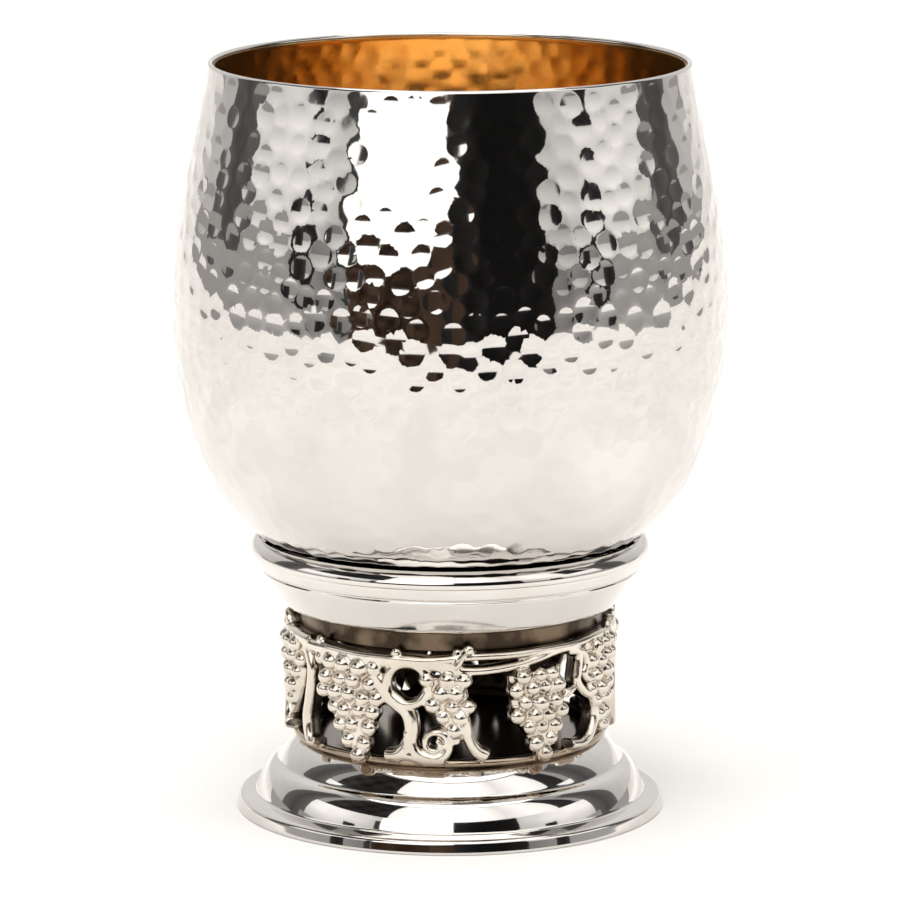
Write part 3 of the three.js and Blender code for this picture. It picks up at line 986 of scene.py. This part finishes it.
def from_axis(made):
    """How far a point is from the cup's axis, its height, and how far it faces away from the axis."""
    where = add_node(made, "TexCoord", {})
    level = maths(made, "VectorMath", "MULTIPLY", where.outputs["Object"], (1, 1, 0)).outputs["Vector"]
    length = maths(made, "VectorMath", "LENGTH", level)
    out = maths(made, "VectorMath", "NORMALIZE", level)
    facing = maths(made, "VectorMath", "DOT_PRODUCT", out.outputs["Vector"], where.outputs["Normal"])
    split = add_node(made, "SeparateXYZ", {"Vector": where.outputs["Object"]})
    return length.outputs["Value"], split.outputs["Z"], facing.outputs["Value"]


def open_share(made, reach):
    """0 in deep hollows, 1 in the open."""
    hollow = add_node(made, "AmbientOcclusion", {"Distance": reach})
    hollow.samples = 6
    return hollow.outputs["AO"]


def cast_silver():
    """Warm, satin casting with brown patina in its hollows, painted shade along its foot and painted shade on
    its inward faces.
    """
    made = material("cast_silver_plate", ((0.62, 0.56, 0.48), (0.78, 0.72, 0.64)), (0.1, 0.22), 0.3)
    shaded(made, PATINA_AND_PAINTED_SHADE, ramped(made, open_share(made, 0.8 * MM), 0.2, 0.8))
    radius, height, facing = from_axis(made)
    # Painted shade: brown towards the foot, where the casting meets the plate.
    shaded(made, PATINA_AND_PAINTED_SHADE, ramped(made, height, *PAINTED_BASE_SHADE))
    # Painted shade: faces turned in towards the axis, and the casting's back, are painted dark.
    front = greater(made, ramped(made, facing, -0.35, 0.1), ramped(made, radius, *CAST_FACE))
    shaded(made, PAINTED_INNER_SHADE, front, 0.45)
    return made


def neck_silver():
    """Polished silver with painted shade in the collar's narrow neck, under its overhang."""
    made = material("collar_silver_plate", ((0.69, 0.66, 0.625), (0.74, 0.715, 0.685)), (0.03, 0.08), 0.06)
    radius, height, _ = from_axis(made)
    bright = greater(made, ramped(made, radius, *NECK_EDGE), ramped(made, height, *NECK_TOP))
    # Painted shade in the neck, with darker painted patches over it.
    shaded(made, NECK_PAINTED_SHADE, bright, 0.28)
    shaded(made, NECK_PAINTED_DEEP_SHADE, greater(made, bright, ramped(made, clouds(made, PATINA_SCALE, 3), 0.4, 0.56)))
    return made


def foot_silver():
    """Polished silver with painted shade on the plate where the casting hides it."""
    made = material("foot_silver_plate", ((0.68, 0.655, 0.63), (0.74, 0.715, 0.69)), (0.025, 0.07), 0.06)
    radius, height, _ = from_axis(made)
    bright = greater(made, ramped(made, radius, *PLATE_EDGE), ramped(made, height, *PLATE_LEVEL))
    # Painted shade on the plate inside the casting.
    shaded(made, PAINTED_INNER_SHADE, bright, 0.12)
    return made


SILVER = material("silver_plate", ((0.635, 0.612, 0.588), (0.685, 0.665, 0.642)), (0.03, 0.07), 0.06)
GILDING = material("gilding", ((0.94, 0.64, 0.30), (0.97, 0.72, 0.39)), (0.10, 0.2), 0.1)


def finish_piece(piece, node, look):
    piece.data.materials.append(look)
    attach(piece, "root")
    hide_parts(node)


# -------------------- studio

CAMERA_DISTANCE = 0.8
CAMERA_HEIGHT = 0.2049
CAMERA_PITCH = math.radians(10.93)
SENSOR_WIDTH = 36
FOCAL_LENGTH = 234.2
CARD_CENTRE = 75 * MM
CARD_DISTANCE = 1.1
CARD_WHITE = (1.0, 0.985, 0.96)
CARD_BROWN = (1.0, 0.62, 0.42)
CARD_COLUMNS = 33
CARD_ROWS = 17
# Waves of a cloudy card: how many round it and up it for each radian.
CARD_RIPPLES = ((17, 9), (-5, 23))
SIDE_PANEL_GLOW = (0.72, 0.95, 1.2, 1.3, 1.2)
SIDE_TABLE_FADE = (1.6, 1.6, 1.7, 0.95, 0.85)
FLOOR_TINTS = ((0.80, 0.785, 0.765), (0.90, 0.885, 0.865))
FLOOR_SCALE = 14
FLOOR_FRONT = -0.45
FLOOR_FRONT_HALF = 0.42
FLOOR_HALF = 1.25
SWEEP_START = 1.0
SWEEP_RADIUS = 0.3
WALL_HEIGHT = 1.4
SUN_STRENGTH = 1.9
SUN_SPREAD = math.radians(70)
SUN_TILT = (math.radians(12), math.radians(-8), 0)
WORLD_TINT = (0.43, 0.42, 0.405)


def add_camera():
    lens = bpy.data.cameras.new("camera")
    lens.sensor_width = SENSOR_WIDTH
    lens.lens = FOCAL_LENGTH
    lens.clip_start = 0.05
    camera = placed("camera", lens)
    camera.location = (0, -CAMERA_DISTANCE, CAMERA_HEIGHT)
    camera.rotation_euler = (math.pi / 2 - CAMERA_PITCH, 0, 0)
    bpy.context.scene.camera = camera


def glowing():
    """Light given off as the card's own colours say."""
    made, _ = new_material("card_glow")
    made.node_tree.nodes.clear()
    colours = add_node(made, "Attribute", {})
    colours.attribute_name = "glow"
    glow = add_node(made, "Emission", {"Color": colours.outputs["Color"]})
    add_node(made, "OutputMaterial", {"Surface": glow.outputs["Emission"]})
    return made


CARD_GLOW = glowing()


def card(
    name, azimuths, elevations, across, up=(1, 1), tint=CARD_WHITE, cloudy=0, lean=0, distance=CARD_DISTANCE
):
    """A curved panel round the cup. Azimuth 0 is the camera's side, + is to its right.
    across and up: its brightness from side to side, and how that changes from bottom to top;
    lean: how many degrees its second side is drawn in at the bottom."""
    sideways, upward = np.meshgrid(np.linspace(0, 1, CARD_COLUMNS), np.linspace(0, 1, CARD_ROWS))
    reach = azimuths[1] - azimuths[0] - lean * (1 - upward)
    turn = np.radians(azimuths[0] + reach * sideways)
    lift = np.radians(elevations[0] + (elevations[1] - elevations[0]) * upward)
    points = distance * np.stack([np.sin(turn), -np.cos(turn), np.tan(lift)], axis=2)
    points[..., 2] += CARD_CENTRE
    glow = np.interp(sideways, np.linspace(0, 1, len(across)), across)
    glow *= np.interp(upward, np.linspace(0, 1, len(up)), up)
    ripples = [np.sin(round_waves * turn + up_waves * lift) for round_waves, up_waves in CARD_RIPPLES]
    glow *= 1 + cloudy * ripples[0] * ripples[1]
    grid = np.array(numbered(CARD_COLUMNS, CARD_ROWS))
    faces = np.stack([grid[:-1, :-1], grid[:-1, 1:], grid[1:, 1:], grid[1:, :-1]], axis=2)
    panel = mesh_object(name, points.reshape(-1, 3), faces.reshape(-1, 4).tolist())
    colours = panel.data.color_attributes.new("glow", "FLOAT_COLOR", "POINT")
    shown = glow[..., None] * np.array([*tint, 0]) + (0, 0, 0, 1)
    colours.data.foreach_set("color", shown.ravel())
    panel.data.materials.append(CARD_GLOW)
    panel.visible_camera = False
    panel.visible_shadow = False


def add_floor():
    """A pale floor that sweeps up into a wall behind the cup."""
    made, shader = new_material("floor")
    tint = two_tints(made, clouds(made, FLOOR_SCALE, 2), (0.35, 0.65), FLOOR_TINTS)
    fill(made, shader, {"Base Color": tint, "Roughness": 0.7, "Specular IOR Level": 0.1})
    outline = [(FLOOR_FRONT, 0, FLOOR_FRONT_HALF), (SWEEP_START, 0, FLOOR_HALF)]
    for turn in np.linspace(0.1, 1.5, 9):
        reach, lift = SWEEP_RADIUS * math.sin(turn), SWEEP_RADIUS * (1 - math.cos(turn))
        outline.append((SWEEP_START + reach, lift, FLOOR_HALF))
    outline.append((SWEEP_START + SWEEP_RADIUS, WALL_HEIGHT, FLOOR_HALF))
    points = [(x, y, z) for y, z, half in outline for x in (-half, half)]
    faces = [(2 * i, 2 * i + 1, 2 * i + 3, 2 * i + 2) for i in range(len(outline) - 1)]
    floor = mesh_object("floor", np.array(points), faces)
    floor.data.materials.append(made)


def add_sun():
    light = bpy.data.lights.new("overhead", "SUN")
    light.energy = SUN_STRENGTH
    light.angle = SUN_SPREAD
    lamp = placed("overhead", light)
    lamp.rotation_euler = SUN_TILT
    lamp.visible_glossy = False


def add_world():
    world = bpy.data.worlds.new("studio")
    world.use_nodes = True
    back = world.node_tree.nodes["Background"]
    back.inputs["Color"].default_value = (*WORLD_TINT, 1)
    bpy.context.scene.world = world


def add_studio():
    add_camera()
    add_floor()
    add_sun()
    add_world()
    card("softbox", (-43, 2), (15, 26), (1.85, 1.9, 1.9))
    card("softbox_top", (-40, 36), (26, 60), (1.4, 1.9, 1.9, 1.2))
    card("softbox_foot", (-43, 2), (8.5, 15), (1.7, 1.85, 1.85), lean=13)
    card("brown_screen", (-15, 2), (-16, 15), (0.09, 0.06), tint=CARD_BROWN, distance=1.15)
    low_glow = (0.09, 0.03, 0.05)
    card("below_softbox", (-43, -11), (-16, 8.5), low_glow, tint=CARD_BROWN, cloudy=0.5, distance=1.12)
    card("camera_gap", (2, 42), (-16, 26), (0.022, 0.008, 0.008, 0.016), (1.3, 1), cloudy=0.1)
    for side in (-1, 1):
        card("side_panel", (side * 42, side * 96), (6.5, 26), SIDE_PANEL_GLOW, (0.65, 1.05, 1.1), cloudy=0.04)
        card("side_table", (side * 42, side * 100), (-30, 6.5), (0.26, 0.42, 0.5, 0.45), SIDE_TABLE_FADE)
        card("side_stand", (side * 58, side * 66), (-2, 12), (0.03, 0.02, 0.05), distance=0.95)
        card("back_gap", (side * 96, side * 118), (2, 50), (0.16, 0.09, 0.16), cloudy=0.05)
        card("rear_panel", (side * 118, side * 178), (2, 62), (0.75, 1.0, 1.0), (0.8, 1), cloudy=0.03)
        card("table_edge", (side * 66, side * 128), (-11, -9.8), (0.05, 0.04), tint=CARD_BROWN, distance=0.9)
    card("high_gap_left", (-88, -40), (26, 60), (0.05, 0.02, 0.03), cloudy=0.5)
    card("high_panel_right", (36, 74), (26, 60), (1.1, 1.5, 1.3))
    card("high_gap_right", (74, 90), (26, 60), (0.04, 0.03))
    card("panel_seam", (-46, -42.5), (-2, 20), (0.06, 0.04), distance=1.0)
    card("ceiling", (-180, 180), (62, 80), (2.4, 2.4))
    bpy.context.scene.view_settings.view_transform = "Standard"


# -------------------- the cup

hammered_band = HammeredBand(bowl_outline())
finish_piece(silver_wall(hammered_band), "bowl", SILVER)
finish_piece(gilt_lining(hammered_band), "bowl", GILDING)
finish_piece(collar(), "collar", neck_silver())
finish_piece(grape_gallery(), "grape_gallery", cast_silver())
finish_piece(foot(), "foot", foot_silver())
add_studio()
